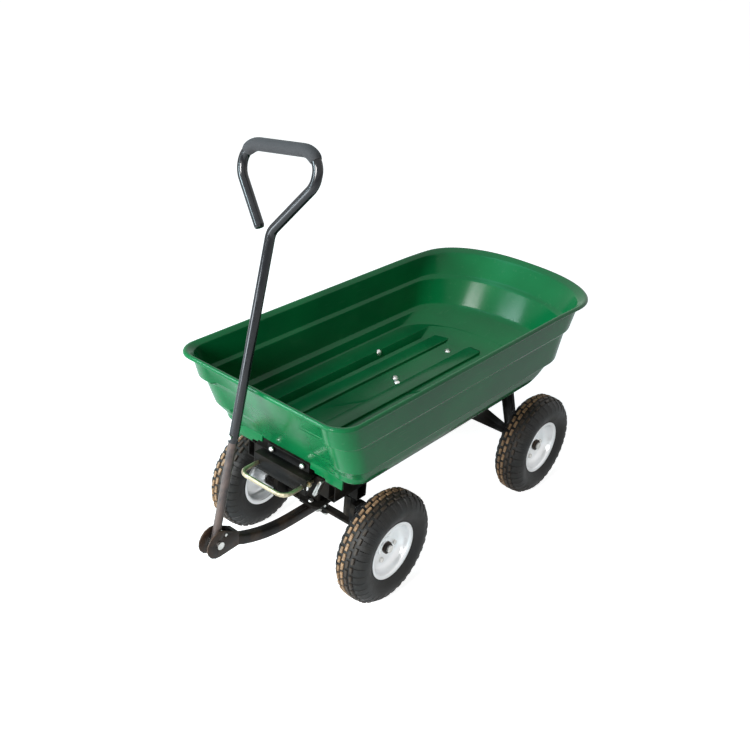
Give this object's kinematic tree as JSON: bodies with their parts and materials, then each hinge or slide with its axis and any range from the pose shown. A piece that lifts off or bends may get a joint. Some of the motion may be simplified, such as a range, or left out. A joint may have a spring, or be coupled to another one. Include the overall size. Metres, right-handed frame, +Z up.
{
  "type": "garden dump cart",
  "caption": "Poly-tub garden cart: a stepped tub that tips back on a steel chassis, pneumatic wheels, linked front steering and a folding pull handle with an open loop grip.",
  "frame": {"origin": "on the ground, under the middle of the cart's bounding box", "axes": "+X to the right as seen from the handle, +Y from the handle to the tail, +Z up"},
  "size_m": [0.462, 1.1324, 0.9891],
  "materials": {
    "bail_zinc": "yellow zinc plate",
    "chassis_black": "black paint, worn edges",
    "grip_foam": "dark grey foam",
    "handle_black": "gloss black paint",
    "rim_white": "white paint",
    "tub_green": "moulded poly, satin gloss",
    "tyre_rubber": "dusty black rubber",
    "zinc_plate": "zinc plate"
  },
  "bodies": {
    "chassis": {"front_beam": "chassis_black", "pivot_block": "chassis_black", "tongue_pivot_bolt": "zinc_plate", "latch_cross_member": "chassis_black", "rear_axle": "zinc_plate", "side_rail_left": "chassis_black", "side_rail_right": "chassis_black", "rear_leg_left": "chassis_black", "rear_leg_right": "chassis_black", "hinge_bolt_left": "zinc_plate", "hinge_bolt_right": "zinc_plate", "rear_axle_nut_left": "zinc_plate", "rear_axle_nut_right": "zinc_plate"},
    "tipping_tub": {"tub": "tub_green", "tub_frame": "chassis_black", "latch_plate": "chassis_black", "floor_bolt_1": "zinc_plate", "floor_bolt_2": "zinc_plate", "floor_bolt_3": "zinc_plate", "floor_bolt_4": "zinc_plate", "floor_bolt_5": "zinc_plate", "floor_bolt_6": "zinc_plate", "latch_bolt_left": "zinc_plate", "latch_bolt_right": "zinc_plate"},
    "release_bail": {"latch_bail": "bail_zinc"},
    "tongue": {"tongue_bar": "chassis_black", "steering_plate": "chassis_black", "tie_bolt": "zinc_plate", "clevis": "chassis_black", "handle_pivot_bolt": "zinc_plate", "handle_stop_pin": "zinc_plate"},
    "handle": {"handle_lower_tube": "chassis_black", "handle_upper_tube": "handle_black", "handle_joint_bolt": "zinc_plate", "foam_grip": "grip_foam", "handle_end_plug": "handle_black"},
    "rod_left": {"tie_rod_left": "chassis_black"},
    "stub_axle_left": {"knuckle_left": "chassis_black", "kingpin_nut_left": "zinc_plate", "spindle_nut_left": "zinc_plate"},
    "rod_right": {"tie_rod_right": "chassis_black"},
    "stub_axle_right": {"knuckle_right": "chassis_black", "kingpin_nut_right": "zinc_plate", "spindle_nut_right": "zinc_plate"},
    "wheel_front_left": {"tyre_front_left": "tyre_rubber", "rim_outer_front_left": "rim_white", "rim_inner_front_left": "rim_white", "hub_front_left": "zinc_plate"},
    "wheel_front_right": {"tyre_front_right": "tyre_rubber", "rim_outer_front_right": "rim_white", "rim_inner_front_right": "rim_white", "hub_front_right": "zinc_plate"},
    "wheel_rear_left": {"tyre_rear_left": "tyre_rubber", "rim_outer_rear_left": "rim_white", "rim_inner_rear_left": "rim_white", "hub_rear_left": "zinc_plate"},
    "wheel_rear_right": {"tyre_rear_right": "tyre_rubber", "rim_outer_rear_right": "rim_white", "rim_inner_rear_right": "rim_white", "hub_rear_right": "zinc_plate"}
  },
  "joints": [
    {"name": "tub_tilt", "type": "hinge", "parent": "chassis", "child": "tipping_tub", "pos_m": [0, 0.29725, 0.3033], "axis": [-1, 0, 0], "range_deg": [0, 45]},
    {"name": "bail_slide", "type": "slide", "parent": "tipping_tub", "child": "release_bail", "axis": [0, -1, 0], "range_m": [0, 0.015], "stiffness_N_per_m": 250, "springref_m": -0.01},
    {"name": "tongue_swing", "type": "hinge", "parent": "chassis", "child": "tongue", "pos_m": [0, -0.22775, 0.143], "axis": [0, 0, 1], "range_deg": [-22, 22]},
    {"name": "handle_fold", "type": "hinge", "parent": "tongue", "child": "handle", "pos_m": [0, -0.53525, 0.199], "axis": [1, 0, 0], "range_deg": [0, 110]},
    {"name": "steer_left", "type": "hinge", "parent": "chassis", "child": "stub_axle_left", "pos_m": [-0.095, -0.22775, 0.129], "axis": [0, 0, 1], "range_deg": [-22, 22]},
    {"name": "tie_rod_left_pivot", "type": "hinge", "parent": "tongue", "child": "rod_left", "pos_m": [0, -0.20075, 0.105], "axis": [0, 0, 1], "range_deg": [-22, 22]},
    {"name": "steer_right", "type": "hinge", "parent": "chassis", "child": "stub_axle_right", "pos_m": [0.095, -0.22775, 0.129], "axis": [0, 0, 1], "range_deg": [-22, 22]},
    {"name": "tie_rod_right_pivot", "type": "hinge", "parent": "tongue", "child": "rod_right", "pos_m": [0, -0.20075, 0.113], "axis": [0, 0, 1], "range_deg": [-22, 22]},
    {"name": "wheel_front_left_spin", "type": "hinge", "parent": "stub_axle_left", "child": "wheel_front_left", "pos_m": [-0.189, -0.22775, 0.129], "axis": [1, 0, 0], "continuous": true},
    {"name": "wheel_front_right_spin", "type": "hinge", "parent": "stub_axle_right", "child": "wheel_front_right", "pos_m": [0.189, -0.22775, 0.129], "axis": [1, 0, 0], "continuous": true},
    {"name": "wheel_rear_left_spin", "type": "hinge", "parent": "chassis", "child": "wheel_rear_left", "pos_m": [-0.189, 0.36525, 0.129], "axis": [1, 0, 0], "continuous": true},
    {"name": "wheel_rear_right_spin", "type": "hinge", "parent": "chassis", "child": "wheel_rear_right", "pos_m": [0.189, 0.36525, 0.129], "axis": [1, 0, 0], "continuous": true}
  ],
  "couplings": [
    {"joint": "steer_left", "follows": "tongue_swing", "ratio": 1},
    {"joint": "tie_rod_left_pivot", "follows": "tongue_swing", "ratio": -1},
    {"joint": "steer_right", "follows": "tongue_swing", "ratio": 1},
    {"joint": "tie_rod_right_pivot", "follows": "tongue_swing", "ratio": -1}
  ]
}
